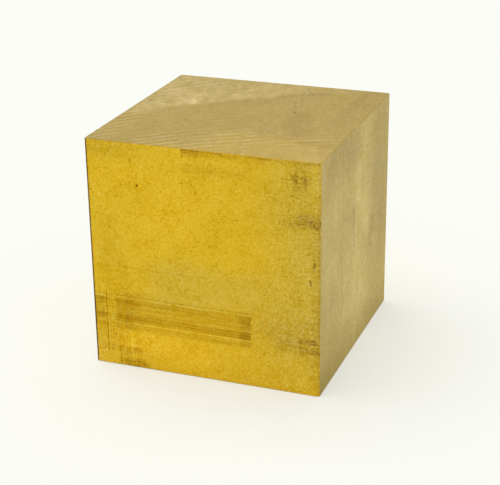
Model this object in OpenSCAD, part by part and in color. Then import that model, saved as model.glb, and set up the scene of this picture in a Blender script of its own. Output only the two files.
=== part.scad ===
// Brass cube: a length of drawn square bar, sawn off as long as it is wide.
// The drawing die leaves the four upright edges softly rounded.
// The two sawn ends are flat, with the burr taken off all round by a fine bevel.
// The block stands on its lower sawn end, with the origin at the middle of that end.
// +Z runs along the bar, and the front face looks along -Y.

/* [Bar] */
// Width of the bar across its front face
bar_width = 50.8; // [20:0.1:150]
// Depth of the bar from front face to back face
bar_depth = 50.8; // [20:0.1:150]
// Radius that the drawing die leaves along each upright edge
corner_radius = 0.7; // [0.4:0.05:3]

/* [Cut] */
// Length that the block is sawn off to
cut_length = 50.8; // [10:0.1:300]
// Bevel that takes the burr off the sawn ends, measured along either face
end_bevel = 0.15; // [0.05:0.05:0.3]

/* [Hidden] */

// Facets round a full turn of the corner radius
corner_facets = 64;

// Distance from the bar's centre line to the centre of a corner radius
corner_x = bar_width / 2 - corner_radius;
corner_y = bar_depth / 2 - corner_radius;

// Outline of half a lengthwise section, reach wide, bevelled at both sawn ends
module half_section(reach) {
    polygon([
        [0, 0],
        [reach - end_bevel, 0],
        [reach, end_bevel],
        [reach, cut_length - end_bevel],
        [reach - end_bevel, cut_length],
        [0, cut_length],
    ]);
}

// Full lengthwise section of a slab that is width wide
module slab_section(width) {
    half_section(width / 2);
    mirror([1, 0]) half_section(width / 2);
}

// Slab lying along Y: width wide and length long, standing on z = 0
module slab(width, length) {
    rotate([90, 0, 0])
        linear_extrude(length, center = true)
            slab_section(width);
}

// Round bar corner, bevelled at both ends like the flats that run into it
module round_corner() {
    rotate_extrude($fn = corner_facets)
        half_section(corner_radius);
}

// Bar sawn to length: two crossed slabs make the four flats, and a round joins each pair
module block() {
    color([0.80, 0.67, 0.27]) {
        slab(bar_width, 2 * corner_y);
        rotate([0, 0, 90]) slab(bar_depth, 2 * corner_x);
        for (side_x = [-1, 1], side_y = [-1, 1])
            translate([side_x * corner_x, side_y * corner_y, 0])
                round_corner();
    }
}

block();
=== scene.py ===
"""Brass cube: a sawn length of drawn bar, dressed with its mill skin, rub marks and saw marks.

The file is laid out as an add-on. Each maker below is a button in the 3D view's sidebar,
and main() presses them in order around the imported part.
"""

import math

import bpy
from mathutils import Matrix, Vector


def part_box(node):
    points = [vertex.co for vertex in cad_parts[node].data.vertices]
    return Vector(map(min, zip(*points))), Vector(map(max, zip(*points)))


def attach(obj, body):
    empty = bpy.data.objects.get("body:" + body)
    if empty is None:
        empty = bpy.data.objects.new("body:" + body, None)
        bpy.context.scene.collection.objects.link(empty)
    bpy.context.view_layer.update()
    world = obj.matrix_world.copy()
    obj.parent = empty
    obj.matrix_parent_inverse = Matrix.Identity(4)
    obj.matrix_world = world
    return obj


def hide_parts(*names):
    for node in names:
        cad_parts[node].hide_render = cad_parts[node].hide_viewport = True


bl_info = {
    "name": "Brass Cube",
    "version": (1, 0, 0),
    "blender": (4, 5, 0),
    "location": "View3D > Sidebar > Brass Cube",
    "description": "Makes a sawn length of drawn brass bar with its mill skin and saw marks",
    "category": "Object",
}

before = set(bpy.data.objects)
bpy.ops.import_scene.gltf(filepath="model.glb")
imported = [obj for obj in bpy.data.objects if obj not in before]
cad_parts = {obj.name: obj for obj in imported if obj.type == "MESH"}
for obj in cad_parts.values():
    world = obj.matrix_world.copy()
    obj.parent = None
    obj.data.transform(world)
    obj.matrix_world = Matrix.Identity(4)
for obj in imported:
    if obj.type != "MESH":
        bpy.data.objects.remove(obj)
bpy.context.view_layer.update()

MM = 0.001
NODE = "block"

# The block's lowest and highest corners, and the size of its front face's flat part
LOW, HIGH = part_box(NODE)
FRONT_FLAT = [v.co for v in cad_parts[NODE].data.vertices if v.co.y - LOW.y < MM / 1000]
FLAT_RIGHT = max(corner.x for corner in FRONT_FLAT)
FLAT_TOP = max(corner.z for corner in FRONT_FLAT)

# Grid steps that the block's mesh gives to half of a rounded upright edge
ROUND_STEPS = 4
# Keeps a division by nothing from failing
TINY = 1e-6
# Edges that turn less than this are shaded smoothly
SMOOTH_TURN = math.radians(30)

# How far a die line is drawn out along the bar: the smaller, the longer
DIE_DRAW = 0.012
# How far the blade still had to go at its first mark, and by what share each next one is wider
LEAD_IN = 123 * MM
FEED_GROWTH = 0.0173
# Size of the clouds that make the saw marks wander, and how many marks they wander by
WANDER_SIZE = 14 * MM
WANDER = 0.3
# Usual size of a nick in a sawn edge, and the share of the clouds that leaves the edge whole
NICK_SIZE = 2.2 * MM
WHOLE_EDGE = 0.32
# Size of the patches where the saw marks are deeper
ROUGH_SIZE = 11 * MM
# Where the blade's cut turned smooth, as how far it had been fed: still rough, quite smooth
SMOOTH_CUT = (-92.4 * MM, -90.6 * MM)
# The faint dip just before it and the bright verge along it, each from none to full and back
DIP_RISE, DIP_FALL = (-96 * MM, -93 * MM), (-91 * MM, -92.5 * MM)
VERGE_RISE, VERGE_FALL = (-92.6 * MM, -91.6 * MM), (-87.5 * MM, -90.5 * MM)
# How far the fine rubbing on the sawn ends runs aslant of the depth
SLANT = math.radians(20)

# Tint of what brass mirrors at a glancing angle
GLANCE_TINT = (0.82, 0.76, 0.58, 1.0)
# Heights on the front face between which the long rub lies, each from none to full
RUB_FOOT = (0.165, 0.185)
RUB_HEAD = (0.338, 0.325)
# Height of the bumps that only the materials make, on the skin and on the sawn ends
SKIN_GRAIN = 0.004 * MM
SAWN_GRAIN = 0.005 * MM

# Half the floor's width in metres
FLOOR_REACH = 4.0
# The last step from the floor's own pale colour up to white: its colour and strength
FLOOR_LIFT = (0.975, 0.985, 0.935)
LIFT_STRENGTH = 0.465
SKY_COLOUR = (0.965, 0.98, 0.935)
# How widely the lamp's light is spread, and the place that it shines from
LAMP_SPREAD = math.radians(53)
LAMP_PLACE = Vector((-0.34, 0.05, 1.05))
# The point that the camera looks at, in widths of the block
LOOKED_AT = Vector((0.0193, 0.0, 0.4198))
# Width in millimetres of the sensor that the lens is given for, and the nearest thing shown
SENSOR_WIDTH = 36.0
NEAREST = 0.01


# ---------------------------------------------------------------- sizes and colours

class BlockSizes(bpy.types.PropertyGroup):
    """Sizes of the block and of the marks that its making left."""

    width: bpy.props.FloatProperty(
        name="Width", description="Across the front face",
        default=HIGH.x - LOW.x, min=0.01, unit="LENGTH")
    depth: bpy.props.FloatProperty(
        name="Depth", description="From the front face to the back face",
        default=HIGH.y - LOW.y, min=0.01, unit="LENGTH")
    length: bpy.props.FloatProperty(
        name="Length", description="From the lower sawn end to the upper one",
        default=HIGH.z - LOW.z, min=0.01, unit="LENGTH")
    corner_radius: bpy.props.FloatProperty(
        name="Corner Radius", description="Round that the die leaves along each upright edge",
        default=HIGH.x - FLAT_RIGHT, min=0.0001, unit="LENGTH")
    end_bevel: bpy.props.FloatProperty(
        name="End Bevel", description="Fine bevel that takes the burr off the sawn ends",
        default=HIGH.z - FLAT_TOP, min=0.00001, unit="LENGTH")
    blade_radius: bpy.props.FloatProperty(
        name="Blade Radius", description="Radius of the saw blade that cut the ends",
        default=125 * MM, min=0.05, unit="LENGTH")
    blade_offset: bpy.props.FloatProperty(
        name="Blade Offset",
        description="How far the blade's centre ran to the side of the block's",
        default=68 * MM, unit="LENGTH")
    saw_pitch: bpy.props.FloatProperty(
        name="Saw Pitch", description="Feed of the blade from one saw mark to the next",
        default=2.65 * MM, min=0.0005, unit="LENGTH")
    saw_depth: bpy.props.FloatProperty(
        name="Saw Depth", description="Depth of the deepest saw marks",
        default=0.025 * MM, min=0.0, unit="LENGTH")
    die_pitch: bpy.props.FloatProperty(
        name="Die Line Pitch", description="Usual distance between two lines drawn by the die",
        default=2.4 * MM, min=0.0002, unit="LENGTH")
    die_depth: bpy.props.FloatProperty(
        name="Die Line Depth", description="Depth of the deepest lines drawn by the die",
        default=0.016 * MM, min=0.0, unit="LENGTH")
    nick_depth: bpy.props.FloatProperty(
        name="Nick Depth", description="Depth of the deepest nicks in the edges of the sawn ends",
        default=0.12 * MM, min=0.0, unit="LENGTH")
    across_steps: bpy.props.IntProperty(
        name="Steps Across", description="Mesh steps across the width and the depth",
        default=146, min=2 * ROUND_STEPS + 4)
    along_steps: bpy.props.IntProperty(
        name="Steps Along", description="Mesh steps along the bar",
        default=84, min=6)
    seed: bpy.props.FloatProperty(
        name="Seed", description="Another number gives other die lines, nicks and clouds",
        default=3.0)


class BrassFinish(bpy.types.PropertyGroup):
    """Colours of the drawn skin, the sawn ends and the films on them."""

    skin: bpy.props.FloatVectorProperty(
        name="Skin", description="Golden mill skin of the front and back faces",
        subtype="COLOR", min=0, max=1, default=(0.745, 0.487, 0.027))
    pale_skin: bpy.props.FloatVectorProperty(
        name="Pale Skin", description="Skin that is dulled and greener, as towards the right edge",
        subtype="COLOR", min=0, max=1, default=(0.645, 0.455, 0.056))
    bare_side: bpy.props.FloatVectorProperty(
        name="Bare Side", description="Paler brass of the right and left faces",
        subtype="COLOR", min=0, max=1, default=(0.570, 0.446, 0.182))
    # Also used as painted light along the middle of each side face
    bright_side: bpy.props.FloatVectorProperty(
        name="Bright Side", description="Brighter bands along the right and left faces",
        subtype="COLOR", min=0, max=1, default=(0.665, 0.524, 0.216))
    sawn: bpy.props.FloatVectorProperty(
        name="Sawn End", description="Brass of the sawn ends",
        subtype="COLOR", min=0, max=1, default=(0.480, 0.354, 0.130))
    bright_sawn: bpy.props.FloatVectorProperty(
        name="Bright Sawn End", description="Part of a sawn end where the blade ran smoothly",
        subtype="COLOR", min=0, max=1, default=(0.532, 0.406, 0.178))
    warm_sawn: bpy.props.FloatVectorProperty(
        name="Warm Sawn End", description="Yellower part of a sawn end",
        subtype="COLOR", min=0, max=1, default=(0.545, 0.392, 0.125))
    # Besides tarnish, this film is painted shade on the bevels of the sawn ends
    tarnish_and_shade: bpy.props.FloatVectorProperty(
        name="Tarnish", description="What a brown film of tarnish lets through",
        subtype="COLOR", min=0.01, max=1, default=(0.78, 0.69, 0.38))
    # Besides rubbed-in dirt, this film carries painted shade along the foot of the front face
    grime_and_shade: bpy.props.FloatVectorProperty(
        name="Grime", description="What a grey film of rubbed-in dirt lets through",
        subtype="COLOR", min=0.01, max=1, default=(0.78, 0.75, 0.82))
    # Tarnish along the upright edges, and painted shade on their rounds
    edge_tarnish_and_shade: bpy.props.FloatVectorProperty(
        name="Edge Grime",
        description="What the old brown grime along the upright edges lets through",
        subtype="COLOR", min=0.01, max=1, default=(0.78, 0.75, 1.0))
    # Painted shade near the foot of the bare sides
    foot_shade: bpy.props.FloatVectorProperty(
        name="Foot Shade",
        description="What the dull film near the foot of the bare sides lets through",
        subtype="COLOR", min=0.01, max=1, default=(0.74, 0.735, 0.62))
    # Used for painted light and reflection on the front face, as well as a few paler spots of the
    # skin
    skin_gleam: bpy.props.FloatVectorProperty(
        name="Skin Gleam", description="What a worn, brighter place on the skin has lost",
        subtype="COLOR", min=0.01, max=1, default=(0.88, 0.91, 0.97))
    # Used for painted light, highlights and glints on the right face and the upper end, and for
    # brighter rubs on the left face
    bare_gleam: bpy.props.FloatVectorProperty(
        name="Bare Gleam", description="What a brighter place on the bare brass has lost",
        subtype="COLOR", min=0.01, max=1, default=(0.87, 0.86, 0.78))
    # Grain of the bare brass, and painted shade in the saw grooves with painted light on their
    # ridges
    grain_and_groove_shade: bpy.props.FloatVectorProperty(
        name="Hollow", description="What a hollow or a dull grain of the bare brass sends back",
        subtype="COLOR", min=0.01, max=1, default=(0.86, 0.83, 0.64))
    mottle: bpy.props.FloatVectorProperty(
        name="Mottle", description="What the uneven grain of the skin lets through",
        subtype="COLOR", min=0.01, max=1, default=(0.90, 0.85, 0.38))
    hue: bpy.props.FloatVectorProperty(
        name="Hue",
        description="What a browner place on the skin lets through, beside a greener one",
        subtype="COLOR", min=0.01, max=1, default=(0.995, 0.975, 0.84))


class StageSettings(bpy.types.PropertyGroup):
    """The pale floor, the soft light and the camera."""

    floor_colour: bpy.props.FloatVectorProperty(
        name="Floor Colour", description="Colour of the plain floor",
        subtype="COLOR", min=0, max=1, default=(0.60, 0.60, 0.585))
    lamp_strength: bpy.props.FloatProperty(
        name="Lamp Strength",
        description="Light that the soft lamp over the block sheds on each square metre",
        default=0.95, min=0.0)
    sky_strength: bpy.props.FloatProperty(
        name="Sky Strength", description="Even light that reaches the block from all round",
        default=0.60, min=0.0)
    azimuth: bpy.props.FloatProperty(
        name="Azimuth",
        description="How far the camera stands round to the right of the front face",
        default=math.radians(20.68), subtype="ANGLE")
    elevation: bpy.props.FloatProperty(
        name="Elevation", description="How far the camera looks down",
        default=math.radians(22.36), subtype="ANGLE")
    roll: bpy.props.FloatProperty(
        name="Roll", description="How far the camera is turned about its own line of sight",
        default=math.radians(-0.76), subtype="ANGLE")
    distance: bpy.props.FloatProperty(
        name="Distance", description="From the camera to the middle of its view, in block widths",
        default=5.96, min=1.0)
    lens: bpy.props.FloatProperty(
        name="Lens", description="Focal length on a 36 mm wide sensor",
        default=98.4, min=10.0, unit="CAMERA")


# ---------------------------------------------------------------- sums in node trees

class Num:
    """A number inside a node tree. A sum on it adds the Math node that works it out."""

    def __init__(self, tree, plug):
        self.tree = tree
        self.plug = plug

    def __add__(self, other):
        return maths("ADD", self, other)

    def __sub__(self, other):
        return maths("SUBTRACT", self, other)

    def __rsub__(self, other):
        return maths("SUBTRACT", other, self)

    def __mul__(self, other):
        return maths("MULTIPLY", self, other)

    def __truediv__(self, other):
        return maths("DIVIDE", self, other)

    def __rtruediv__(self, other):
        return maths("DIVIDE", other, self)

    def __gt__(self, other):
        return maths("GREATER_THAN", self, other)

    def __lt__(self, other):
        return maths("LESS_THAN", self, other)

    def __abs__(self):
        return maths("ABSOLUTE", self)

    __radd__ = __add__
    __rmul__ = __mul__


class Spot:
    """A place inside a node tree, with its three numbers."""

    def __init__(self, tree, plug):
        parts = tree.nodes.new("ShaderNodeSeparateXYZ")
        tree.links.new(plug, parts.inputs[0])
        self.tree = tree
        self.plug = plug
        self.x, self.y, self.z = (Num(tree, part) for part in parts.outputs)

    def squeezed(self, x, y, z):
        """The same place on squeezed axes, which draws a pattern out along each small one."""
        node = self.tree.nodes.new("ShaderNodeVectorMath")
        node.operation = "MULTIPLY"
        self.tree.links.new(self.plug, node.inputs[0])
        node.inputs[1].default_value = (x, y, z)
        return Spot(self.tree, node.outputs[0])


class Paint:
    """A colour inside a material's tree, built up one coat or film at a time."""

    def __init__(self, tree, colour):
        self.tree = tree
        self.colour = tuple(colour)

    def coat(self, colour, amount):
        """Lays another colour over this one, by an amount from 0 to 1."""
        node = self.tree.nodes.new("ShaderNodeMix")
        node.data_type = "RGBA"
        feed(self.tree, node.inputs[0], amount)
        feed(self.tree, node.inputs[6], self.colour)
        feed(self.tree, node.inputs[7], colour.colour if isinstance(colour, Paint) else colour)
        self.colour = node.outputs[2]
        return self

    def film(self, tint, thickness):
        """Lays a clear film over the colour. A film of less than nothing brightens it."""
        node = self.tree.nodes.new("ShaderNodeGroup")
        node.node_tree = bpy.data.node_groups.get("Clear Film") or film_group()
        for entry, value in zip(node.inputs, (self.colour, tuple(tint), thickness)):
            feed(self.tree, entry, value)
        self.colour = node.outputs[0]
        return self


def feed(tree, entry, value):
    """Gives a node's input a number, a colour or what another node works out."""
    if isinstance(value, Num):
        tree.links.new(value.plug, entry)
    elif isinstance(value, bpy.types.NodeSocket):
        tree.links.new(value, entry)
    elif entry.type == "RGBA":
        entry.default_value = (*value[:3], 1.0)
    else:
        entry.default_value = value


def maths(operation, *values):
    """A Math node's result on these values, of which at least one is a Num."""
    tree = next(value.tree for value in values if isinstance(value, Num))
    node = tree.nodes.new("ShaderNodeMath")
    node.operation = operation
    for entry, value in zip(node.inputs, values):
        feed(tree, entry, value)
    return Num(tree, node.outputs[0])


def least(*values):
    """The smaller of two numbers."""
    return maths("MINIMUM", *values)


def most(*values):
    """The larger of two numbers."""
    return maths("MAXIMUM", *values)


def kept(value):
    """The value, kept between 0 and 1."""
    return least(most(value, 0.0), 1.0)


def ramp(value, start, end):
    """A smooth rise from 0 at start to 1 at end, or a fall where end is below start."""
    tree = value.tree
    node = tree.nodes.new("ShaderNodeMapRange")
    node.interpolation_type = "SMOOTHSTEP"
    node.clamp = False
    feed(tree, node.inputs["Value"], value)
    feed(tree, node.inputs["From Min"], start)
    feed(tree, node.inputs["From Max"], end)
    return Num(tree, node.outputs[0])


def cloud(place, size, detail=2.0, seed=0.0, rough=0.5):
    """Soft random spots about size across: a number that swings to either side of 0."""
    tree = place.tree
    node = tree.nodes.new("ShaderNodeTexNoise")
    node.noise_dimensions = "4D"
    feed(tree, node.inputs["Vector"], place.plug)
    feed(tree, node.inputs["W"], seed)
    feed(tree, node.inputs["Scale"], 1 / size)
    feed(tree, node.inputs["Detail"], detail)
    feed(tree, node.inputs["Roughness"], rough)
    return (Num(tree, node.outputs[0]) - 0.5) * 2.0


def joined(tree, x, y, z):
    """A place made from three numbers."""
    node = tree.nodes.new("ShaderNodeCombineXYZ")
    for entry, value in zip(node.inputs, (x, y, z)):
        feed(tree, entry, value)
    return Spot(tree, node.outputs[0])


def tidy(tree, gap=180, drop=150):
    """Sets a tree's nodes out in columns, each to the right of all that feed it."""
    column = {node: 0 for node in tree.nodes}
    for _ in range(len(tree.nodes)):
        moved = False
        for link in tree.links:
            least_column = column[link.from_node] + 1
            if column[link.to_node] < least_column:
                column[link.to_node] = least_column
                moved = True
        if not moved:
            break
    filled = {}
    for node, place in column.items():
        row = filled.get(place, 0)
        node.location = (place * gap, -row * drop)
        filled[place] = row + 1


# ---------------------------------------------------------------- marks of the bar's making

def die_lines(place, pitch, seed):
    """Lines drawn along the bar by the die: random round the bar, and even along it."""
    return cloud(place.squeezed(1, 1, DIE_DRAW), pitch, detail=3.0, seed=seed)


def saw_travel(place, blade_radius, blade_offset):
    """How far the saw had been fed when the rim of its blade passed a place."""
    side = place.x - blade_offset
    return place.y - maths("SQRT", blade_radius * blade_radius - side * side)


def saw_marks(place, travel, pitch, seed):
    """Ridges that the saw leaves at each feed, wider as it runs: 0 in a groove, 1 on a ridge."""
    here = 1 + (travel + LEAD_IN) * FEED_GROWTH / pitch
    count = maths("LOGARITHM", here, math.e) / FEED_GROWTH
    wander = cloud(place, WANDER_SIZE, detail=1.0, seed=seed) * WANDER
    return maths("SINE", (count + wander) * math.tau) * 0.5 + 0.5


# ---------------------------------------------------------------- the block's mesh

BLOCK_INPUTS = (
    ("Width", "width", "NodeSocketFloat"),
    ("Depth", "depth", "NodeSocketFloat"),
    ("Length", "length", "NodeSocketFloat"),
    ("Corner Radius", "corner_radius", "NodeSocketFloat"),
    ("End Bevel", "end_bevel", "NodeSocketFloat"),
    ("Blade Radius", "blade_radius", "NodeSocketFloat"),
    ("Blade Offset", "blade_offset", "NodeSocketFloat"),
    ("Saw Pitch", "saw_pitch", "NodeSocketFloat"),
    ("Saw Depth", "saw_depth", "NodeSocketFloat"),
    ("Die Line Pitch", "die_pitch", "NodeSocketFloat"),
    ("Die Line Depth", "die_depth", "NodeSocketFloat"),
    ("Nick Depth", "nick_depth", "NodeSocketFloat"),
    ("Steps Across", "across_steps", "NodeSocketInt"),
    ("Steps Along", "along_steps", "NodeSocketInt"),
    ("Seed", "seed", "NodeSocketFloat"),
    ("Drawn Skin", None, "NodeSocketMaterial"),
    ("Sawn End", None, "NodeSocketMaterial"),
)


def new_block_tree():
    """The empty tree with its named inputs, and what each of them brings in."""
    tree = bpy.data.node_groups.new("Sawn Bar Block", "GeometryNodeTree")
    for label, _, kind in BLOCK_INPUTS:
        tree.interface.new_socket(name=label, in_out="INPUT", socket_type=kind)
    tree.interface.new_socket(name="Block", in_out="OUTPUT", socket_type="NodeSocketGeometry")
    entry = tree.nodes.new("NodeGroupInput")
    brings = {label: Num(tree, entry.outputs[label]) for label, _, _ in BLOCK_INPUTS}
    return tree, brings


def inset_across(step, steps, bevel, radius, half):
    """How far in from a side face a grid line lies, counted in steps from the nearer edge.

    The first step is the end bevel, the next few make the round, and the rest share the flat.
    """
    round_part = kept((step - 1) / (ROUND_STEPS - 1)) * (radius - bevel)
    flat_part = kept((step - ROUND_STEPS) / (steps / 2 - ROUND_STEPS)) * (half - radius)
    return least(step, 1.0) * bevel + round_part + flat_part


def shape_block(tree, brings, start):
    """Turns the even grid of a unit cube into the block, with the relief of its making."""
    radius = brings["Corner Radius"]
    bevel = brings["End Bevel"]
    half_x = brings["Width"] / 2
    half_y = brings["Depth"] / 2
    half_z = brings["Length"] / 2
    across = brings["Steps Across"]
    along = brings["Steps Along"]
    seed = brings["Seed"]

    # Grid steps from the nearer edge, and how far in from each pair of faces they lie
    step_x, step_y = ((0.5 - abs(near)) * across for near in (start.x, start.y))
    step_z = (0.5 - abs(start.z)) * along
    in_x = inset_across(step_x, across, bevel, radius, half_x)
    in_y = inset_across(step_y, across, bevel, radius, half_y)
    in_z = least(step_z, 1.0) * bevel + kept((step_z - 1) / (along / 2 - 1)) * (half_z - bevel)

    # Square corner patches are turned into quarter rounds: out is 0 on the flat and 1 on a face
    out_x = kept(1 - in_x / radius)
    out_y = kept(1 - in_y / radius)
    out = most(out_x, out_y)
    turn = least(out_x, out_y) / most(out, TINY) * (math.pi / 4)
    long_leg = out * maths("COSINE", turn) * radius
    short_leg = out * maths("SINE", turn) * radius
    swap = (long_leg - short_leg) * (out_x > out_y)
    round_x = short_leg + swap
    round_y = long_leg - swap

    # Places on the plain block, which the relief is laid out by
    flat_x = least(half_x - in_x, half_x - radius)
    flat_y = least(half_y - in_y, half_y - radius)
    sign_x, sign_y, sign_z = (maths("SIGN", near) for near in (start.x, start.y, start.z))
    plain_z = half_z + sign_z * (half_z - in_z)
    plain = joined(tree, sign_x * (flat_x + round_x), sign_y * (flat_y + round_y), plain_z)

    at_end = step_z < 0.5
    on_rim = at_end * (out > 1 - TINY)
    on_cap = at_end - on_rim
    nick = most(cloud(plain, NICK_SIZE, seed=seed) - WHOLE_EDGE, 0.0) * brings["Nick Depth"]
    rim_inset = on_rim * (bevel / 2 + nick)
    # Clouds run from about -0.6 to 0.6, and the die lines are moved into 0 to 1
    die = (die_lines(plain, brings["Die Line Pitch"], seed) + 0.6) * 0.8
    side_relief = (1 - at_end) * kept(die) * brings["Die Line Depth"]

    travel = saw_travel(plain, brings["Blade Radius"], brings["Blade Offset"])
    ridge = saw_marks(plain, travel, brings["Saw Pitch"], seed)
    rough = kept(cloud(plain, ROUGH_SIZE, detail=1.0, seed=seed + 5) + 0.5)
    cap_relief = on_cap * (1 - ridge) * rough * brings["Saw Depth"]

    pulled = 1 - (rim_inset + side_relief) / radius
    return joined(
        tree,
        sign_x * (flat_x + round_x * pulled),
        sign_y * (flat_y + round_y * pulled),
        plain_z - sign_z * (rim_inset + cap_relief),
    )


def block_tree():
    """Geometry Nodes that make the block from its named sizes."""
    tree, brings = new_block_tree()
    nodes = tree.nodes
    links = tree.links
    cube = nodes.new("GeometryNodeMeshCube")
    cube.inputs["Size"].default_value = (1, 1, 1)
    for axis, steps in (("X", "Steps Across"), ("Y", "Steps Across"), ("Z", "Steps Along")):
        feed(tree, cube.inputs["Vertices " + axis], brings[steps] + 1)
    start = Spot(tree, nodes.new("GeometryNodeInputPosition").outputs[0])
    shape = nodes.new("GeometryNodeSetPosition")
    links.new(cube.outputs["Mesh"], shape.inputs["Geometry"])
    links.new(shape_block(tree, brings, start).plug, shape.inputs["Position"])

    # The bevels stay crisp, and the rounded edges run smoothly into the flats
    angle = Num(tree, nodes.new("GeometryNodeInputMeshEdgeAngle").outputs["Unsigned Angle"])
    smooth = nodes.new("GeometryNodeSetShadeSmooth")
    smooth.domain = "EDGE"
    links.new(shape.outputs[0], smooth.inputs["Geometry"])
    feed(tree, smooth.inputs["Shade Smooth"], angle < SMOOTH_TURN)

    facing = Spot(tree, nodes.new("GeometryNodeInputNormal").outputs[0])
    realize = nodes.new("GeometryNodeRealizeInstances")
    links.new(smooth.outputs[0], realize.inputs[0])
    last = realize
    for slot, chosen in (("Drawn Skin", None), ("Sawn End", abs(facing.z) > 0.5)):
        wear = nodes.new("GeometryNodeSetMaterial")
        links.new(last.outputs[0], wear.inputs["Geometry"])
        links.new(brings[slot].plug, wear.inputs["Material"])
        if chosen is not None:
            feed(tree, wear.inputs["Selection"], chosen)
        last = wear
    links.new(last.outputs[0], nodes.new("NodeGroupOutput").inputs[0])
    tidy(tree)
    return tree


def grown(name, tree, values):
    """The plain mesh that a Geometry Nodes tree makes from these values, on a new object."""
    block = bpy.data.objects.new(name, bpy.data.meshes.new(name))
    bpy.context.scene.collection.objects.link(block)
    maker = block.modifiers.new(tree.name, "NODES")
    maker.node_group = tree
    for item in tree.interface.items_tree:
        if item.in_out == "INPUT":
            maker[item.identifier] = values[item.name]
    bpy.context.view_layer.update()
    ready = block.evaluated_get(bpy.context.evaluated_depsgraph_get())
    mesh = bpy.data.meshes.new_from_object(ready)
    block.modifiers.remove(maker)
    block.data = mesh
    mesh.name = name
    return block


# ---------------------------------------------------------------- materials

def new_group(name, inputs, output):
    """A new shader node group: its tree and what each of its named inputs brings in."""
    tree = bpy.data.node_groups.new(name, "ShaderNodeTree")
    for label, kind in inputs:
        tree.interface.new_socket(name=label, in_out="INPUT", socket_type="NodeSocket" + kind)
    label, kind = output
    tree.interface.new_socket(name=label, in_out="OUTPUT", socket_type="NodeSocket" + kind)
    entry = tree.nodes.new("NodeGroupInput")
    return tree, [Num(tree, plug) for plug in entry.outputs[:len(inputs)]]


def film_group():
    """A clear film over a colour. A thicker film lets less through, each colour by its share."""
    tree, (colour, tint, thickness) = new_group(
        "Clear Film",
        (("Colour", "Color"), ("Tint", "Color"), ("Thickness", "Float")),
        ("Colour", "Color"))
    under, through = (Spot(tree, brought.plug) for brought in (colour, tint))
    passed = joined(tree, *(
        below * maths("POWER", share, thickness)
        for below, share in ((under.x, through.x), (under.y, through.y), (under.z, through.z))))
    feed(tree, tree.nodes.new("NodeGroupOutput").inputs[0], passed.plug)
    tidy(tree)
    return tree


def band_group():
    """A soft-edged band between two places on one axis."""
    tree, (along, low, high, soft, strength) = new_group(
        "Band",
        (("Along", "Float"), ("Low", "Float"), ("High", "Float"), ("Soft", "Float"),
         ("Strength", "Float")),
        ("Amount", "Float"))
    amount = ramp(along, low - soft, low + soft) * ramp(along, high + soft, high - soft)
    feed(tree, tree.nodes.new("NodeGroupOutput").inputs[0], amount * strength)
    tidy(tree)
    return tree


def patch_group():
    """A soft-edged upright patch on a face."""
    tree, (across, up, left, right, low, high, soft, strength) = new_group(
        "Rub Patch",
        tuple((label, "Float") for label in (
            "Across", "Up", "Left", "Right", "Low", "High", "Soft", "Strength")),
        ("Amount", "Float"))
    amount = ramp(across, left - soft, left + soft) * ramp(across, right + soft, right - soft)
    amount = amount * ramp(up, low - soft, low + soft) * ramp(up, high + soft, high - soft)
    feed(tree, tree.nodes.new("NodeGroupOutput").inputs[0], amount * strength)
    tidy(tree)
    return tree


def stroke_group():
    """A round-ended stroke on a face, full inside its core and fading out to its radius."""
    tree, (across, up, x1, y1, x2, y2, radius, core, strength) = new_group(
        "Stroke",
        tuple((label, "Float") for label in (
            "Across", "Up", "From Across", "From Up", "To Across", "To Up",
            "Radius", "Core", "Strength")),
        ("Amount", "Float"))
    run_x, run_y = x2 - x1, y2 - y1
    off_x, off_y = across - x1, up - y1
    share = kept((off_x * run_x + off_y * run_y) / (run_x * run_x + run_y * run_y + TINY))
    away_x, away_y = off_x - run_x * share, off_y - run_y * share
    away = maths("SQRT", away_x * away_x + away_y * away_y)
    feed(tree, tree.nodes.new("NodeGroupOutput").inputs[0],
         ramp(away, radius, radius * core) * strength)
    tidy(tree)
    return tree


def stamped(tree, group, places, rows):
    """The sum of a group's marks at each place, with one row of numbers for each mark."""
    total = 0.0
    for row in rows:
        node = tree.nodes.new("ShaderNodeGroup")
        node.node_tree = group
        for entry, value in zip(node.inputs, tuple(places) + tuple(row)):
            feed(tree, entry, value)
        total = Num(tree, node.outputs[0]) + total
    return total


# Marks are placed in shares of a face: across from its left, up from its lower edge.
# Their last number is the thickness of the film that they leave; under 0 they are brighter.

# Rows of the long rub near the foot of the front face: low, high, softness, thickness
RUB_ROWS = (
    (0.1680, 0.1800, 0.0050, 0.28),
    (0.1840, 0.1885, 0.0015, 0.42),
    (0.1905, 0.1930, 0.0012, -0.20),
    (0.1945, 0.1985, 0.0015, 0.42),
    (0.2000, 0.2055, 0.0012, -0.62),
    (0.2080, 0.2410, 0.0020, 0.74),
    (0.2430, 0.2780, 0.0060, 0.16),
    (0.2805, 0.2870, 0.0020, 0.62),
    (0.2890, 0.3110, 0.0030, 0.50),
    (0.3160, 0.3200, 0.0012, -0.60),
    (0.3225, 0.3270, 0.0020, 0.30),
)
# Its lengths, from the left: left, right, softness, strength
RUB_LENGTHS = (
    (-0.050, 0.056, 0.012, 0.70),
    (0.107, 0.148, 0.010, 0.98),
    (0.148, 0.657, 0.003, 1.00),
    (0.657, 0.708, 0.002, 1.35),
)
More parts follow.
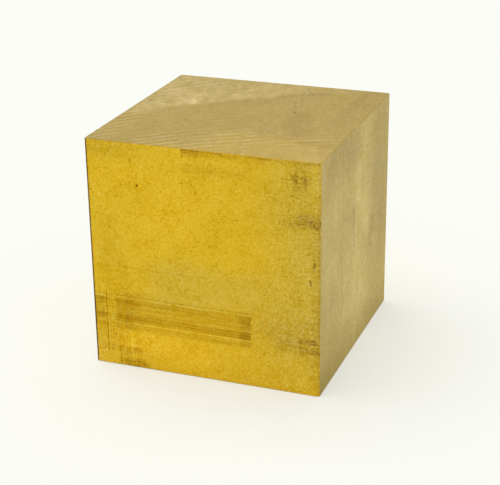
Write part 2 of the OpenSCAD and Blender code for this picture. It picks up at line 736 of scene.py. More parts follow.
# Patches: left, right, low, high, softness, thickness
UPRIGHT_SCRATCHES = (
    (0.425, 0.500, 0.970, 1.030, 0.008, 0.90),
    (0.425, 0.660, 0.972, 1.030, 0.010, 0.80),
    (0.640, 0.860, 0.975, 1.030, 0.022, 0.55),
    (0.425, 0.560, 0.900, 0.935, 0.014, 0.62),
    (0.560, 0.700, 0.900, 0.935, 0.018, 0.42),
    (0.150, 0.255, 0.322, 0.352, 0.012, 0.60),
    (0.146, 0.178, 0.172, 0.245, 0.006, 0.80),
    (0.146, 0.178, 0.245, 0.325, 0.006, 0.38),
    (0.178, 0.218, 0.168, 0.245, 0.016, 0.55),
    (0.178, 0.215, 0.245, 0.320, 0.016, 0.38),
    (0.657, 0.708, 0.205, 0.242, 0.003, 0.95),
    (0.660, 0.706, 0.248, 0.290, 0.008, 0.50),
    (0.659, 0.708, 0.178, 0.205, 0.004, 0.35),
    (0.113, 0.124, 0.000, 0.094, 0.004, 0.45),
    (0.136, 0.175, 0.048, 0.086, 0.012, 0.40),
    (0.178, 0.215, 0.066, 0.092, 0.010, 0.50),
    (0.128, 0.180, -0.030, 0.040, 0.012, 0.42),
    (0.178, 0.240, -0.030, 0.044, 0.012, 0.40),
    (0.045, 0.180, 0.090, 0.520, 0.035, 0.22),
    (0.000, 0.160, 0.945, 1.000, 0.022, 0.40),
    (0.700, 1.020, 0.020, 0.980, 0.140, 0.16),
)
LEVEL_SCRATCHES = (
    (0.885, 0.950, 0.898, 0.948, 0.018, 0.60),
    (0.885, 0.945, 0.872, 0.905, 0.018, 0.35),
    (0.895, 0.960, 0.955, 0.985, 0.012, 0.50),
    (0.905, 1.000, 0.735, 0.785, 0.020, 0.75),
    (0.840, 0.985, 0.722, 0.770, 0.020, 0.50),
    (0.912, 0.988, 0.226, 0.250, 0.006, 1.60),
    (0.915, 0.990, 0.184, 0.214, 0.009, 1.00),
    (0.820, 0.915, 0.188, 0.240, 0.018, 0.32),
    (0.030, 0.220, 0.066, 0.088, 0.012, 0.50),
    (0.115, 0.250, -0.030, 0.038, 0.012, 0.55),
    (0.440, 0.990, 0.989, 0.997, 0.003, 0.70),
    (0.015, 0.058, 0.284, 0.312, 0.008, 0.55),
    (0.015, 0.058, 0.215, 0.255, 0.008, 0.45),
    (-0.020, 0.130, 0.050, 0.330, 0.030, 0.22),
    (0.962, 1.020, 0.020, 0.760, 0.012, 0.35),
)
FINE_LINES = (
    (0.0600, 0.0655, 0.055, 0.340, 0.0010, 1.40),
    (0.0675, 0.0720, 0.060, 0.200, 0.0012, -0.35),
    (0.0750, 0.0780, 0.060, 0.330, 0.0012, 0.35),
    (0.0985, 0.1015, 0.150, 0.300, 0.0010, 0.35),
    (0.1030, 0.1060, 0.150, 0.300, 0.0010, -0.25),
    (0.4225, 0.4285, 0.960, 1.020, 0.0015, 0.90),
    (0.0300, 0.5300, 0.4535, 0.4580, 0.0016, 0.34),
    (0.1065, 0.1090, 0.165, 0.345, 0.0014, 0.45),
    (0.1140, 0.1180, 0.000, 0.330, 0.0014, 0.40),
    (0.1240, 0.1265, 0.150, 0.350, 0.0014, 0.45),
    (0.1390, 0.1415, 0.160, 0.375, 0.0014, 0.40),
    (0.1590, 0.1615, 0.050, 0.350, 0.0014, 0.35),
    (0.1155, 0.1205, -0.010, 0.088, 0.0016, 0.90),
    (0.1300, 0.1340, 0.060, 0.480, 0.0014, 0.25),
    (0.0430, 0.0455, 0.130, 0.330, 0.0014, 0.40),
    (0.0870, 0.0895, 0.000, 0.340, 0.0014, 0.45),
    (0.1480, 0.1510, 0.000, 0.520, 0.0016, 0.45),
    (0.1700, 0.1740, -0.010, 0.160, 0.0016, -0.70),
    (0.1960, 0.1985, 0.000, 0.170, 0.0014, 0.45),
    (0.2120, 0.2145, -0.010, 0.110, 0.0014, 0.40),
    (0.1000, 0.2500, 0.0880, 0.0905, 0.0014, 0.35),
    (0.8600, 0.8625, 0.860, 1.010, 0.0014, 0.40),
    (0.8920, 0.8950, 0.870, 0.980, 0.0016, 0.45),
    (0.9360, 0.9385, 0.860, 0.960, 0.0016, 0.45),
    (0.9640, 0.9670, 0.700, 0.800, 0.0016, -0.45),
    (0.8360, 0.8900, 0.919, 0.9225, 0.0012, 0.90),
    (0.8500, 0.9050, 0.924, 0.9265, 0.0012, -0.45),
    (0.9110, 0.9150, 0.890, 0.9600, 0.0014, -0.40),
)
# Strokes: from across and up, to across and up, radius, share of full strength, thickness
SPECKS = (
    (0.2262, 0.8225, 0.2264, 0.8220, 0.0065, 0.5, 4.5),
    (0.3310, 0.8070, 0.3312, 0.8070, 0.0040, 0.4, 2.5),
    (0.2030, 0.9330, 0.1980, 0.9200, 0.0045, 0.2, 1.5),
    (0.1020, 0.1465, 0.0980, 0.1395, 0.0042, 0.4, 2.2),
    (0.9775, 0.5840, 0.9730, 0.5680, 0.0060, 0.3, 2.6),
    (0.9570, 0.5080, 0.9605, 0.4900, 0.0065, 0.3, 2.4),
    (0.8770, 0.8540, 0.8880, 0.8545, 0.0035, 0.3, 1.8),
    (0.4150, 0.8535, 0.4280, 0.8530, 0.0035, 0.3, 1.5),
    (0.0465, 0.0790, 0.0470, 0.0790, 0.0075, 0.2, 1.0),
    (0.0820, 0.0810, 0.0825, 0.0760, 0.0065, 0.2, 1.0),
    (0.0180, 0.7835, 0.0182, 0.7835, 0.0050, 0.4, 2.5),
)
FRONT_SHADES = (
    (0.150, 0.018, 0.225, 0.014, 0.034, 0.1, 0.36),
    (0.140, 0.062, 0.172, 0.070, 0.024, 0.1, 0.50),
    (0.184, 0.086, 0.208, 0.078, 0.0085, 0.2, 0.90),
    (0.897, 0.940, 0.898, 0.912, 0.016, 0.1, 1.20),
    (0.928, 0.924, 0.942, 0.912, 0.016, 0.1, 1.15),
    (0.900, 0.885, 0.940, 0.888, 0.020, 0.0, 0.30),
    (0.9550, 0.762, 0.9850, 0.754, 0.0280, 0.1, 0.75),
    (0.9150, 0.772, 0.9500, 0.768, 0.0180, 0.1, 0.30),
    (0.080, 0.520, 0.085, 0.640, 0.090, 0.0, 0.20),
    (0.030, 0.965, 0.200, 0.975, 0.070, 0.0, 0.35),
    # Painted shade along the foot of the face
    (0.250, -0.020, 0.900, -0.020, 0.060, 0.0, 0.40),
    (0.930, 0.840, 0.930, 0.600, 0.110, 0.0, 0.12),
    (0.760, 0.265, 0.980, 0.255, 0.130, 0.0, 0.45),
)
# Brighter patches of the front face: painted light and reflection, most low on the face and to its
# left, among a few paler spots of the skin
FRONT_GLEAMS = (
    (0.030, 0.020, 0.090, 0.130, 0.100, 0.0, 0.45),
    (0.200, 0.120, 0.480, 0.115, 0.140, 0.0, 0.80),
    (0.430, 0.616, 0.432, 0.616, 0.045, 0.0, 0.45),
    (0.445, 0.470, 0.446, 0.470, 0.040, 0.0, 0.35),
    (0.300, 0.650, 0.420, 0.760, 0.200, 0.0, 0.30),
    (0.100, 0.860, 0.300, 0.880, 0.120, 0.0, 0.25),
)
# Brighter patches of the right face: painted light, and in the last row a painted highlight along
# its rounded front edge
SIDE_GLEAMS = (
    (0.530, 0.770, 0.535, 0.690, 0.080, 0.0, 0.90),
    (0.605, 0.620, 0.650, 0.560, 0.110, 0.0, 0.90),
    (0.655, 0.510, 0.660, 0.470, 0.060, 0.0, 0.60),
    (0.240, 0.800, 0.240, 0.750, 0.120, 0.0, 0.50),
    (0.460, 0.250, 0.540, 0.210, 0.130, 0.0, 0.45),
    (0.350, 0.240, 0.380, 0.215, 0.080, 0.0, 0.40),
    (0.665, 0.165, 0.670, 0.155, 0.050, 0.0, 0.50),
    (0.770, 0.385, 0.800, 0.365, 0.070, 0.0, 0.70),
    (0.300, 0.390, 0.330, 0.380, 0.080, 0.0, 0.40),
    (0.150, 0.500, 0.180, 0.300, 0.120, 0.0, 0.30),
    (0.400, 0.420, 0.580, 0.160, 0.300, 0.0, 0.62),
    (0.120, 0.700, 0.200, 0.280, 0.180, 0.0, 0.32),
    # Painted highlight along the rounded front edge
    (0.009, 0.000, 0.009, 1.000, 0.012, 0.0, 0.35),
)
SIDE_SHADES = (
    (0.455, 0.650, 0.460, 0.600, 0.036, 0.0, 0.75),
    (0.452, 0.575, 0.460, 0.490, 0.034, 0.0, 0.50),
    (0.330, 0.650, 0.400, 0.630, 0.045, 0.0, 0.28),
    (0.575, 0.765, 0.577, 0.690, 0.040, 0.0, 0.35),
    (0.617, 0.490, 0.622, 0.430, 0.040, 0.0, 0.40),
    (0.740, 0.490, 0.745, 0.435, 0.045, 0.0, 0.40),
    (0.700, 0.420, 0.735, 0.360, 0.035, 0.0, 0.45),
    (0.850, 0.480, 0.910, 0.460, 0.045, 0.0, 0.40),
    (0.160, 0.350, 0.162, 0.345, 0.060, 0.0, 0.40),
    (0.185, 0.430, 0.190, 0.380, 0.045, 0.0, 0.32),
    (0.270, 0.560, 0.272, 0.460, 0.045, 0.0, 0.25),
    (0.180, 0.970, 0.450, 0.920, 0.170, 0.0, 0.65),
    (0.860, 0.900, 0.880, 0.420, 0.220, 0.0, 0.50),
    (0.060, 0.930, 0.090, 0.860, 0.100, 0.0, 0.25),
)
# Brighter patches of the upper end: painted light, most towards its back left, and painted glints
# along a few scratches
END_GLEAMS = (
    (0.210, 0.620, 0.240, 0.590, 0.075, 0.0, 0.85),
    (0.125, 0.535, 0.145, 0.530, 0.045, 0.0, 1.00),
    (0.040, 0.470, 0.065, 0.400, 0.075, 0.0, 0.75),
    (0.390, 0.760, 0.410, 0.770, 0.055, 0.0, 0.55),
    (0.495, 0.780, 0.520, 0.778, 0.040, 0.0, 0.60),
    (0.480, 0.218, 0.490, 0.212, 0.030, 0.0, 0.60),
    (0.020, 0.900, 0.140, 0.980, 0.150, 0.0, 0.30),
    (0.060, 0.760, 0.220, 0.700, 0.160, 0.0, 0.45),
    (0.960, 0.060, 0.980, 0.020, 0.160, 0.0, 0.55),
    (0.450, 0.860, 0.600, 0.940, 0.090, 0.0, 0.40),
    (0.860, 0.252, 0.950, 0.282, 0.009, 0.2, 0.90),
    (0.925, 0.138, 0.990, 0.158, 0.009, 0.2, 0.90),
    (0.730, 0.205, 0.760, 0.218, 0.014, 0.0, 0.80),
    (0.760, 0.110, 0.900, 0.160, 0.060, 0.0, 0.30),
)
END_SHADES = (
    (0.570, 0.805, 0.730, 0.885, 0.050, 0.0, 0.40),
    (0.640, 0.850, 0.730, 0.885, 0.028, 0.0, 0.22),
    (0.350, 0.600, 0.560, 0.750, 0.080, 0.0, 0.16),
    (0.730, 0.570, 0.800, 0.300, 0.075, 0.0, 0.36),
    (0.905, 0.980, 0.905, 0.500, 0.045, 0.0, 0.22),
    (0.960, 1.000, 0.960, 0.700, 0.120, 0.0, 0.22),
    (0.860, 0.220, 0.930, 0.200, 0.065, 0.0, 0.22),
    (0.040, 0.576, 0.042, 0.574, 0.018, 0.3, 1.30),
    (0.688, 0.608, 0.699, 0.585, 0.008, 0.3, 1.60),
    (0.635, 0.960, 0.686, 0.860, 0.006, 0.0, 0.90),
    (0.622, 0.925, 0.650, 0.865, 0.006, 0.0, 0.70),
    (0.683, 0.725, 0.703, 0.660, 0.006, 0.0, 0.70),
    (0.640, 0.745, 0.690, 0.625, 0.005, 0.0, 0.75),
    (0.650, 0.690, 0.668, 0.640, 0.005, 0.0, 0.55),
    (0.935, 0.600, 0.965, 0.580, 0.010, 0.0, 0.70),
    (0.950, -0.020, 0.950, 1.020, 0.003, 0.2, 0.45),
    (0.276, 0.395, 0.303, 0.335, 0.006, 0.0, 0.45),
    (0.185, 0.205, 0.195, 0.180, 0.006, 0.0, 0.45),
)
# Where the saw marks and their painted shade show most strongly
RIDGED_PARTS = (
    (0.280, 0.060, 0.580, 0.180, 0.170, 0.2, 1.00),
    (0.020, 0.020, 0.040, 0.330, 0.120, 0.2, 0.95),
    (0.040, 0.680, 0.160, 0.900, 0.190, 0.2, 0.62),
    (0.300, 0.820, 0.360, 0.860, 0.120, 0.0, 0.40),
    (0.400, 0.400, 0.440, 0.420, 0.110, 0.0, 0.45),
    (0.780, 0.180, 0.960, 0.300, 0.090, 0.0, 0.55),
)


def metal(name):
    """A new brass material, its tree and shader, the place on the piece and the way it faces."""
    material = bpy.data.materials.new(name)
    material.use_nodes = True
    tree = material.node_tree
    shader = tree.nodes["Principled BSDF"]
    shader.inputs["Metallic"].default_value = 1.0
    shader.inputs["Specular Tint"].default_value = GLANCE_TINT
    found = tree.nodes.new("ShaderNodeTexCoord")
    place, facing = (Spot(tree, found.outputs[kind]) for kind in ("Object", "Normal"))
    return material, tree, shader, place, facing


def raise_grain(tree, shader, height, distance):
    """Gives a material its finest relief, in metres at a height of 1."""
    bump = tree.nodes.new("ShaderNodeBump")
    bump.inputs["Strength"].default_value = 1.0
    bump.inputs["Distance"].default_value = distance
    feed(tree, bump.inputs["Height"], height)
    tree.links.new(bump.outputs[0], shader.inputs["Normal"])


def golden_paint(tree, place, across, up, threads, front, finish):
    """The golden mill skin of the front and back faces. The front one has its rub marks."""
    level, upright = threads
    broad = cloud(place, 14 * MM, detail=2.0, seed=11)

    # The duller skin: towards the right, in the middle and at the front's lower left corner
    dulled = ramp(across + broad * 0.12 + ramp(up, 0.60, 0.30) * 0.05, 0.64, 1.00)
    middle = ramp(across + broad * 0.10, 0.20, 0.36) * ramp(up + broad * 0.08, 0.54, 0.44)
    middle = middle * ramp(up + broad * 0.04, 0.28, 0.36)
    dulled = dulled * ramp(up + broad * 0.15, -0.10, 0.34)
    corner = ramp(across + broad * 0.10, 0.13, 0.02) * ramp(up + broad * 0.10, 0.20, 0.08) * front
    paint = Paint(tree, finish.skin)
    paint.coat(finish.pale_skin, most(most(dulled, middle * 0.65), corner * 0.35))

    patches = patch_group()
    bands = band_group()
    strokes = stroke_group()
    ragged_across = across + cloud(place, 1.6 * MM, detail=2.0, seed=12, rough=0.8) * 0.018
    ragged_up = up + cloud(place, 1.6 * MM, detail=2.0, seed=13, rough=0.8) * 0.010
    ragged = (ragged_across, ragged_up)

    # The long rub: rows of fine lines, over a thin film with ends as ragged as the rows'
    lines = cloud(place.squeezed(0.012, 0.012, 1), 0.32 * MM, detail=2.0, seed=14, rough=0.7)
    worn = 1 + cloud(place.squeezed(1, 1, 0.4), 6 * MM, detail=2.0, seed=15) * 0.9
    lengths = stamped(tree, bands, (ragged_across,), RUB_LENGTHS)
    rows = stamped(tree, bands, (up + broad * 0.002,), RUB_ROWS)
    spread = ramp(ragged_up, *RUB_FOOT) * ramp(ragged_up, *RUB_HEAD)
    faded = 1 - ramp(across, 0.44, 0.60) * ramp(across, 0.66, 0.65) * ramp(up, 0.26, 0.28) * 0.45
    rub = (rows * (1 + lines * 1.8) + spread * lines * 1.2) * lengths * worn * faded
    under = spread * lengths * 0.42

    # Scratched patches and smears, broken up into upright and level lines and into dots
    comb = cloud(place.squeezed(1, 1, 0.25), 0.38 * MM, detail=2.0, seed=19, rough=0.9)
    dots = ramp(cloud(place, 0.50 * MM, detail=2.0, seed=20, rough=0.9), -0.10, 0.20)
    scratched = stamped(tree, patches, ragged, UPRIGHT_SCRATCHES)
    combed = 0.40 + ramp(comb, -0.10, 0.25) * 0.40 + dots * 0.30
    scratched = scratched * (combed + level * 1.3 + upright * 0.5)
    smeared = stamped(tree, patches, ragged, LEVEL_SCRATCHES)
    smeared = smeared * (0.30 + ramp(level, -0.12, 0.25) * 0.85 + dots * 0.50)
    fine = stamped(tree, patches, (across, up), FINE_LINES) * (1 + level + upright)
    # Dark marks, and painted shade along the foot of the face
    shades = stamped(tree, strokes, ragged, FRONT_SHADES) * (0.30 + dots * 1.60)
    shades = shades + stamped(tree, strokes, (across, up), SPECKS)
    # Painted light and reflection, with a few paler spots
    gleams = stamped(tree, strokes, ragged, FRONT_GLEAMS) * (1 + broad)

    # Looser wear on the back: rows of rubbing, and scuffs that come and go
    rubbed = ramp(cloud(place.squeezed(0.05, 0.05, 1), 1.5 * MM, detail=2.0, seed=16), 0.10, 0.45)
    rubbed = rubbed * ramp(cloud(place, 20 * MM, detail=2.0, seed=17), -0.02, 0.25) * (1 + lines)
    scuffed = ramp(cloud(place, 9 * MM, detail=3.0, seed=18), 0.16, 0.44)
    threaded = 0.45 + ramp(upright, -0.10, 0.35) * 0.30 + ramp(level, -0.15, 0.30) * 0.25
    scuffed = scuffed * threaded
    behind = 1 - front

    tarnished = rub + scratched * 0.45 + smeared * 0.20 + fine
    paint.film(finish.tarnish_and_shade, tarnished * front + rubbed * behind)
    grimed_and_shaded = scratched * 0.65 + smeared * 1.05 + shades + under
    paint.film(finish.grime_and_shade, grimed_and_shaded * front + scuffed * behind)
    paint.film(finish.skin_gleam, gleams * front * -1.0)
    return paint


def pale_paint(tree, place, across, up, grain, right, finish):
    """The paler, rubbed brass of the right and left faces, banded along the bar."""
    bands = cloud(place.squeezed(1, 1, 0.16), 6 * MM, detail=3.0, seed=21)
    blotches = cloud(place.squeezed(1, 1, 0.6), 4.5 * MM, detail=3.0, seed=22, rough=0.7)
    # Painted light along the middle of the face, mixed with random brighter bands
    lit = ramp(across, 0.30, 0.54) * ramp(across, 0.74, 0.62) * ramp(up, -0.15, 0.22)
    paint = Paint(tree, finish.bare_side)
    paint.coat(finish.bright_side, kept(lit * 0.55 + bands * 0.5 + blotches * 0.45))

    # Marks, painted light and a painted highlight of the right face, and looser rubs in their
    # place on the left one
    strokes = bpy.data.node_groups["Stroke"]
    ragged = (across + blotches * 0.035 + grain * 0.010, up + bands * 0.06)
    shades = stamped(tree, strokes, ragged, SIDE_SHADES) * (1 + blotches * 1.2)
    gleams = stamped(tree, strokes, ragged, SIDE_GLEAMS) * (1 + blotches * 1.6)
    loose = cloud(place.squeezed(1, 1, 0.22), 9 * MM, detail=3.0, seed=23, rough=0.6)
    rubs = loose + cloud(place.squeezed(0.2, 0.2, 1), 3 * MM, detail=3.0, seed=24) * 0.4
    other = 1 - right
    paint.film(finish.grime_and_shade, shades * right + ramp(rubs, 0.06, 0.50) * other * 0.9)
    paint.film(finish.bare_gleam, gleams * right * -1.0 - ramp(rubs, -0.06, -0.50) * other * 1.2)

    # Painted shade near the foot, thinner away from the front
    foot = ramp(up + blotches * 0.03, 0.19, 0.00) * (1.0 - ramp(across, 0.0, 0.4) * 0.60)
    paint.film(finish.foot_shade, foot * (0.9 + bands * 0.5))
    return paint


def skin_material(sizes, finish):
    """Drawn skin on the block's four sides, running round its rounded upright edges."""
    material, tree, shader, place, facing = metal("Drawn Brass Skin")
    up = place.z / sizes.length
    front_across = place.x / sizes.width + 0.5
    side_across = place.y / sizes.depth + 0.5
    front = ramp(facing.y, 0.0, -0.3)
    right = ramp(facing.x, 0.0, 0.3)

    level = cloud(place.squeezed(0.08, 0.08, 1), 0.40 * MM, seed=2)
    upright = cloud(place.squeezed(1, 1, 0.10), 0.42 * MM, seed=3)
    lines = die_lines(place, sizes.die_pitch / 3, sizes.seed)
    fine = cloud(place, 0.62 * MM, detail=2.0, seed=1, rough=1.0)
    coarse = cloud(place, 4 * MM, detail=3.0, seed=4, rough=0.9)
    pits = ramp(cloud(place.squeezed(0.5, 0.5, 1), 0.36 * MM, detail=1.0, seed=5), 0.12, 0.40)

    # Grain, pits and fine cracks of the golden skin, dirtier towards its right and its foot
    golden_side = golden_paint(tree, place, front_across, up, (level, upright), front, finish)
    crinkled = ramp(abs(cloud(place, 1.3 * MM, detail=2.0, seed=7, rough=0.8)), 0.08, 0.0)
    crinkled = crinkled * ramp(cloud(place, 6 * MM, detail=2.0, seed=8), -0.15, 0.35)
    specks = pits * (0.20 + ramp(coarse, -0.15, 0.30) * 1.00) + crinkled * 0.75
    mottled = fine * 2.1 + coarse * 0.75 + level * 0.22 + upright * 0.20 + specks
    golden_side.film(finish.mottle, mottled)
    golden_side.film(finish.tarnish_and_shade, specks * 0.4)
    dirty = ramp(front_across, 0.72, 0.88) + ramp(up, 0.20, 0.10) * 0.4
    golden_side.film(finish.grime_and_shade, (fine * 0.45 + specks * 0.12) * dirty)

    # Browner and greener places, most mixed near the left edge and low on the face
    tinge = cloud(place, 1.1 * MM, detail=3.0, seed=26, rough=0.9)
    uneven = ramp(up, 0.42, 0.30) * 8.0 + ramp(up, 0.62, 0.74) * 4.0
    tinge = tinge * (0.5 + uneven + ramp(front_across, 0.36, 0.20) * 5.0)
    tinge = cloud(place, 8 * MM, detail=3.0, seed=9, rough=0.7) * 2.0 + tinge
    golden_side.film(finish.hue, tinge)

    # The paler skin, and the golden one laid over it on the front and back faces
    side = pale_paint(tree, place, side_across, up, coarse, right, finish)
    brushed = cloud(place.squeezed(0.7, 0.7, 1), 0.75 * MM, detail=2.0, seed=6, rough=0.9)
    side_grain = brushed * 1.7 + fine * 1.1 + coarse * 0.3 + lines * 0.5 + upright * 0.4
    side.film(finish.grain_and_groove_shade, side_grain)
    golden = ramp(abs(facing.y), 0.40, 0.50)
    side.coat(golden_side, golden)

    # A brown film along the upright edges: tarnish, and painted shade on their rounds, heaviest on
    # the front left one and darkest low down on it
    edge = ramp(least(abs(facing.x), abs(facing.y)), 0.08, 0.34)
    left = ramp(facing.x, -0.05, -0.25) * ramp(facing.y, 0.02, -0.36)
    heavy = 0.55 + left * (1.8 + ramp(up, 0.5, 0.1) * 1.1) + coarse * 1.2
    brown = edge * most(heavy, 0.0) * (0.35 + golden * 0.65 + left * 0.6)
    brown = brown + ramp(front_across, 0.019, 0.006) * front * (1.0 + coarse)
    side.film(finish.edge_tarnish_and_shade, brown)

    feed(tree, shader.inputs["Base Color"], side.colour)
    feed(tree, shader.inputs["Roughness"], 0.44 + fine * 0.08 + coarse * 0.08 + brown * 0.04)
    grain = fine * 0.1 + level * 0.3 + upright * 0.5 + lines * 0.6
    raise_grain(tree, shader, grain, SKIN_GRAIN)
    tidy(tree)
    return material


def sawn_material(sizes, finish):
    """Bare brass of the sawn ends, with the arcs that the blade left."""
    material, tree, shader, place, facing = metal("Sawn Brass End")
    across = place.x / sizes.width + 0.5
    back = place.y / sizes.depth + 0.5
    upper = place.z > sizes.length / 2
    travel = saw_travel(place, sizes.blade_radius, sizes.blade_offset)
    ridge = saw_marks(place, travel, sizes.saw_pitch, sizes.seed)
    scored = cloud(joined(tree, travel, place.x * 0.06, place.z), 0.45 * MM, detail=2.0, seed=41)
    coarse = cloud(place, 5 * MM, detail=3.0, seed=43, rough=0.9)

    # Fine rubbing that runs a little aslant from the front to the back
    aslant = joined(
        tree,
        place.x * math.cos(SLANT) + place.y * math.sin(SLANT),
        (place.y * math.cos(SLANT) - place.x * math.sin(SLANT)) * 0.4,
        place.z)
    rubbed = cloud(aslant, 0.6 * MM, detail=2.0, seed=42, rough=0.9)
    wisps = cloud(aslant, 2.4 * MM, detail=3.0, seed=46, rough=0.8)

    # The brighter part where the cut turned smooth, and the yellower part towards the front
    paint = Paint(tree, finish.sawn)
    uneven = travel + cloud(place, 3.5 * MM, detail=4.0, seed=44, rough=0.9) * 4.5 * MM
    smooth_cut = ramp(uneven, *SMOOTH_CUT) * ramp(across, 1.05, 0.30)
    paint.coat(finish.bright_sawn, smooth_cut * (0.9 + coarse * 0.8))
    warm = ramp(back, 0.34, 0.16) * ramp(across, 0.40, 0.58) * ramp(across, 1.15, 0.80)
    warm = warm + ramp(back, 0.08, 0.02) * ramp(across, 0.20, 0.35) * 0.7
    paint.coat(finish.warm_sawn, kept(warm))

    # Marks of the upper end, and the painted shade and light of the saw's grooves and ridges,
    # strongest in some parts of it
    strokes = bpy.data.node_groups["Stroke"]
    ragged = (across + coarse * 0.020, back + coarse * 0.026)
    shades = stamped(tree, strokes, ragged, END_SHADES)
    gleams = stamped(tree, strokes, ragged, END_GLEAMS)
    gleams = gleams * (1 + coarse * 1.2 + rubbed * 2.5 + wisps * 1.5)
    dip = ramp(uneven, *DIP_RISE) * ramp(uneven, *DIP_FALL)
    strong = stamped(tree, strokes, (across, back), RIDGED_PARTS)
    broken = kept(0.55 + cloud(place, 3 * MM, detail=2.0, seed=45) * 2.2)
    ridges = (0.45 - ridge) * (strong * upper * 2.0 + 0.25) * broken * (1 + scored * 1.5)

    # Painted glints: in the smooth part, on strong ridges and along the bright verge
    verge = ramp(uneven, *VERGE_RISE) * ramp(uneven, *VERGE_FALL)
    verge = verge * ramp(across, 0.62, 0.45)
    sparks = ramp(scored + rubbed * 0.6, 0.05, 0.45) * (smooth_cut * 0.9 + strong * 0.7 + 0.1)
    sparks = sparks * kept(0.5 + coarse * 2.0)
    sparks = sparks + ramp(rubbed + scored * 0.4, 0.0, 0.35) * verge * 0.8
    sparks = sparks + wisps * (0.9 + smooth_cut * 2.2)
    # Painted shade in the saw grooves and painted light on the ridges, over the grain of the bare
    # brass
    paint.film(finish.grain_and_groove_shade, ridges + coarse * 0.85 + rubbed * 1.5 + scored * 0.45)
    paint.film(finish.grime_and_shade, (dip * 0.06 + shades) * upper)
    paint.film(finish.bare_gleam, (gleams + sparks) * upper * -1.0)

    # Painted shade on the bevel, heaviest on the front one
    rim = ramp(abs(facing.z), 0.97, 0.85)
    paint.film(finish.tarnish_and_shade, rim * (0.15 + ramp(facing.y, 0.0, -0.2) * 0.75 + coarse * 0.4))

    feed(tree, shader.inputs["Base Color"], paint.colour)
    feed(tree, shader.inputs["Roughness"], 0.46 + scored * 0.05 + rubbed * 0.06 + rim * 0.1)
    raise_grain(tree, shader, scored * 0.6 + rubbed * 0.3, SAWN_GRAIN)
    tidy(tree)
    return material


# ---------------------------------------------------------------- the stage

def shown_white(tree):
    """1 for the rays that show a surface as a background, straight, mirrored or through glass."""
    path = tree.nodes.new("ShaderNodeLightPath")
    kinds = ("Camera", "Glossy", "Transmission")
    return kept(sum(Num(tree, path.outputs[f"Is {kind} Ray"]) for kind in kinds))


def floor_material(colour):
    """A plain pale floor that keeps shadows. Its last step up to white is only a background."""
    material = bpy.data.materials.new("Pale Floor")
    material.use_nodes = True
    tree = material.node_tree
    shader = tree.nodes["Principled BSDF"]
    feed(tree, shader.inputs["Base Color"], colour)
    shader.inputs["Roughness"].default_value = 1.0
    shader.inputs["Specular IOR Level"].default_value = 0.0
    feed(tree, shader.inputs["Emission Color"], FLOOR_LIFT)
    feed(tree, shader.inputs["Emission Strength"], shown_white(tree) * LIFT_STRENGTH)
    tidy(tree)
    return material


def lay_floor(stage):
    """The floor, level with the block's lower end."""
    mesh = bpy.data.meshes.new("floor")
    signs = ((-1, -1), (1, -1), (1, 1), (-1, 1))
    corners = [(x * FLOOR_REACH, y * FLOOR_REACH, LOW.z) for x, y in signs]
    mesh.from_pydata(corners, [], [(0, 1, 2, 3)])
    mesh.materials.append(floor_material(stage.floor_colour))
    floor = bpy.data.objects.new("floor", mesh)
    bpy.context.scene.collection.objects.link(floor)


def light_stage(stage):
    """An even white sky and one broad, soft, far-off lamp, high to the left of the camera."""
    world = bpy.data.worlds.new("Soft Sky")
    world.use_nodes = True
    bpy.context.scene.world = world
    tree = world.node_tree
    sky = tree.nodes["Background"]
    feed(tree, sky.inputs["Color"], SKY_COLOUR)
    seen = shown_white(tree)
    feed(tree, sky.inputs["Strength"], seen + (1 - seen) * stage.sky_strength)
    tidy(tree)

    lamp = bpy.data.lights.new("soft_lamp", "SUN")
    lamp.angle = LAMP_SPREAD
    lamp.energy = stage.lamp_strength
    holder = bpy.data.objects.new("soft_lamp", lamp)
    holder.location = LAMP_PLACE
    holder.rotation_euler = (-holder.location).to_track_quat("-Z", "Y").to_euler()
    bpy.context.scene.collection.objects.link(holder)


def set_camera(stage):
    """The camera, turned a little about its line of sight."""
    width = HIGH.x - LOW.x
    middle = LOOKED_AT * width
    turned = math.cos(stage.elevation)
    back = Vector((
        math.sin(stage.azimuth) * turned,
        -math.cos(stage.azimuth) * turned,
        math.sin(stage.elevation),
    ))
    right = Vector((math.cos(stage.azimuth), math.sin(stage.azimuth), 0))
    up = back.cross(right)
    axes = Matrix((right, up, back)).transposed() @ Matrix.Rotation(stage.roll, 3, "Z")
    lens = bpy.data.cameras.new("camera")
    lens.lens = stage.lens
    lens.sensor_width = SENSOR_WIDTH
    lens.clip_start = NEAREST
    camera = bpy.data.objects.new("camera", lens)
    place = middle + back * stage.distance * width
    camera.matrix_world = Matrix.Translation(place) @ axes.to_4x4()
    bpy.context.scene.collection.objects.link(camera)
    bpy.context.scene.camera = camera


# ---------------------------------------------------------------- buttons

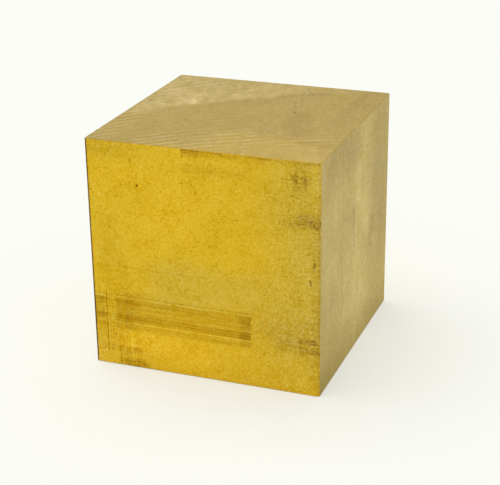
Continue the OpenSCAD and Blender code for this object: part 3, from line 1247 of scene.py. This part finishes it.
class BRASSCUBE_OT_block(bpy.types.Operator):
    """Make the sawn block of drawn brass bar"""

    bl_idname = "brasscube.block"
    bl_label = "Make Block"

    def execute(self, context):
        sizes = context.scene.block_sizes
        finish = context.scene.brass_finish
        values = {label: getattr(sizes, prop) for label, prop, _ in BLOCK_INPUTS if prop}
        values["Drawn Skin"] = skin_material(sizes, finish)
        values["Sawn End"] = sawn_material(sizes, finish)
        block = grown("brass_block", block_tree(), values)
        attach(block, "root")
        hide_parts(NODE)
        return {"FINISHED"}


class BRASSCUBE_OT_stage(bpy.types.Operator):
    """Make the floor, the light and the camera"""

    bl_idname = "brasscube.stage"
    bl_label = "Make Stage"

    def execute(self, context):
        stage = context.scene.stage_settings
        context.scene.view_settings.view_transform = "Standard"
        lay_floor(stage)
        light_stage(stage)
        set_camera(stage)
        return {"FINISHED"}


class BRASSCUBE_PT_panel(bpy.types.Panel):
    """Sizes, colours and buttons for the brass cube"""

    bl_idname = "BRASSCUBE_PT_panel"
    bl_label = "Brass Cube"
    bl_space_type = "VIEW_3D"
    bl_region_type = "UI"
    bl_category = "Brass Cube"

    def draw(self, context):
        layout = self.layout
        scene = context.scene
        for heading, settings, button in (
            ("Block", scene.block_sizes, BRASSCUBE_OT_block.bl_idname),
            ("Finish", scene.brass_finish, None),
            ("Stage", scene.stage_settings, BRASSCUBE_OT_stage.bl_idname),
        ):
            box = layout.box()
            box.label(text=heading)
            for name in settings.__annotations__:
                box.prop(settings, name)
            if button:
                box.operator(button)


CLASSES = (
    BlockSizes,
    BrassFinish,
    StageSettings,
    BRASSCUBE_OT_block,
    BRASSCUBE_OT_stage,
    BRASSCUBE_PT_panel,
)


def register():
    for cls in CLASSES:
        bpy.utils.register_class(cls)
    bpy.types.Scene.block_sizes = bpy.props.PointerProperty(type=BlockSizes)
    bpy.types.Scene.brass_finish = bpy.props.PointerProperty(type=BrassFinish)
    bpy.types.Scene.stage_settings = bpy.props.PointerProperty(type=StageSettings)


def unregister():
    del bpy.types.Scene.stage_settings
    del bpy.types.Scene.brass_finish
    del bpy.types.Scene.block_sizes
    for cls in reversed(CLASSES):
        bpy.utils.unregister_class(cls)


def main():
    register()
    bpy.ops.brasscube.block()
    bpy.ops.brasscube.stage()


if __name__ == "__main__":
    main()
